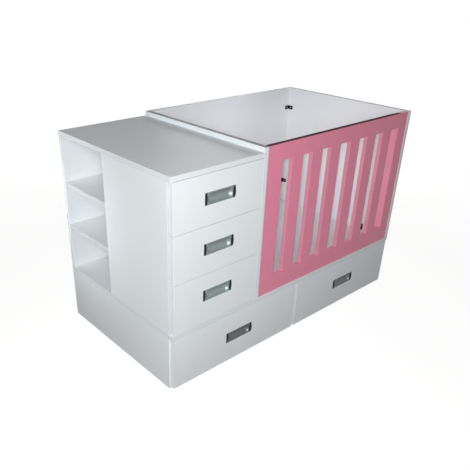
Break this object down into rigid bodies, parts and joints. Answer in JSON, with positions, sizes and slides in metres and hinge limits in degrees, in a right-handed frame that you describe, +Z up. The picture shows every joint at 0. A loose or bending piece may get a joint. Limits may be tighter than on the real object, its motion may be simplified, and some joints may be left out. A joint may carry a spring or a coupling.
{
  "type": "crib with drawers",
  "caption": "White melamine crib on a drawer base, with a slatted pink front rail, a chest of drawers with dished flush pulls at one end and open niches behind it.",
  "frame": {"origin": "on the floor, at the middle of the base, on the underside of the base divider", "axes": "+X along the length towards the crib's right end, +Y from the drawer fronts to the back, +Z up"},
  "size_m": [1.336, 0.7045, 0.849],
  "materials": {
    "white_melamine": "satin white melamine on board",
    "pink_melamine": "satin pink melamine on board",
    "dark_edge_band": "dark satin edge banding",
    "black_plastic": "fine-grained black plastic",
    "brushed_aluminium": "brushed along its length",
    "runner_steel": "zinc-plated sheet",
    "screw_steel": "zinc-plated",
    "drawer_bottom_board": "white-faced hardboard",
    "dowel_wood": "bare beech"
  },
  "bodies": {
    "cabinet": {"base_left_side": "white_melamine", "base_right_side": "white_melamine", "base_divider": "white_melamine", "base_back_panel": "white_melamine", "base_top_board": "white_melamine", "chest_left_side": "white_melamine", "chest_right_side": "white_melamine", "chest_partition": "white_melamine", "chest_back_panel": "white_melamine", "chest_top_board": "white_melamine", "niche_shelf_lower": "white_melamine", "niche_shelf_upper": "white_melamine", "crib_left_end_panel": "white_melamine", "crib_right_end_panel": "white_melamine", "crib_back_panel": "white_melamine", "front_rail": "pink_melamine", "rail_right_batten": "pink_melamine", "rail_edge_band": "dark_edge_band", "end_panel_edge_band": "dark_edge_band", "corner_braces": "black_plastic", "floor_braces": "black_plastic", "brace_screws": "screw_steel", "joint_dowels": "dowel_wood", "chest_runner_rails": "runner_steel", "base_runner_rails": "runner_steel"},
    "chest_drawer_bottom": {"chest_drawer_bottom_front": "white_melamine", "chest_drawer_bottom_sides": "white_melamine", "chest_drawer_bottom_back": "white_melamine", "chest_drawer_bottom_bottom": "drawer_bottom_board", "chest_drawer_bottom_pull_cup": "brushed_aluminium", "chest_drawer_bottom_pull_trims": "black_plastic", "chest_drawer_bottom_runners": "runner_steel"},
    "chest_drawer_middle": {"chest_drawer_middle_front": "white_melamine", "chest_drawer_middle_sides": "white_melamine", "chest_drawer_middle_back": "white_melamine", "chest_drawer_middle_bottom": "drawer_bottom_board", "chest_drawer_middle_pull_cup": "brushed_aluminium", "chest_drawer_middle_pull_trims": "black_plastic", "chest_drawer_middle_runners": "runner_steel"},
    "chest_drawer_top": {"chest_drawer_top_front": "white_melamine", "chest_drawer_top_sides": "white_melamine", "chest_drawer_top_back": "white_melamine", "chest_drawer_top_bottom": "drawer_bottom_board", "chest_drawer_top_pull_cup": "brushed_aluminium", "chest_drawer_top_pull_trims": "black_plastic", "chest_drawer_top_runners": "runner_steel"},
    "base_drawer_left": {"base_drawer_left_front": "white_melamine", "base_drawer_left_sides": "white_melamine", "base_drawer_left_back": "white_melamine", "base_drawer_left_bottom": "drawer_bottom_board", "base_drawer_left_pull_cup": "brushed_aluminium", "base_drawer_left_pull_trims": "black_plastic", "base_drawer_left_runners": "runner_steel"},
    "base_drawer_right": {"base_drawer_right_front": "white_melamine", "base_drawer_right_sides": "white_melamine", "base_drawer_right_back": "white_melamine", "base_drawer_right_bottom": "drawer_bottom_board", "base_drawer_right_pull_cup": "brushed_aluminium", "base_drawer_right_pull_trims": "black_plastic", "base_drawer_right_runners": "runner_steel"}
  },
  "joints": [
    {"name": "chest_drawer_bottom_slide", "type": "slide", "parent": "cabinet", "child": "chest_drawer_bottom", "axis": [0, -1, 0], "range_m": [0, 0.25]},
    {"name": "chest_drawer_middle_slide", "type": "slide", "parent": "cabinet", "child": "chest_drawer_middle", "axis": [0, -1, 0], "range_m": [0, 0.25]},
    {"name": "chest_drawer_top_slide", "type": "slide", "parent": "cabinet", "child": "chest_drawer_top", "axis": [0, -1, 0], "range_m": [0, 0.25]},
    {"name": "base_drawer_left_slide", "type": "slide", "parent": "cabinet", "child": "base_drawer_left", "axis": [0, -1, 0], "range_m": [0, 0.42]},
    {"name": "base_drawer_right_slide", "type": "slide", "parent": "cabinet", "child": "base_drawer_right", "axis": [0, -1, 0], "range_m": [0, 0.42]}
  ]
}
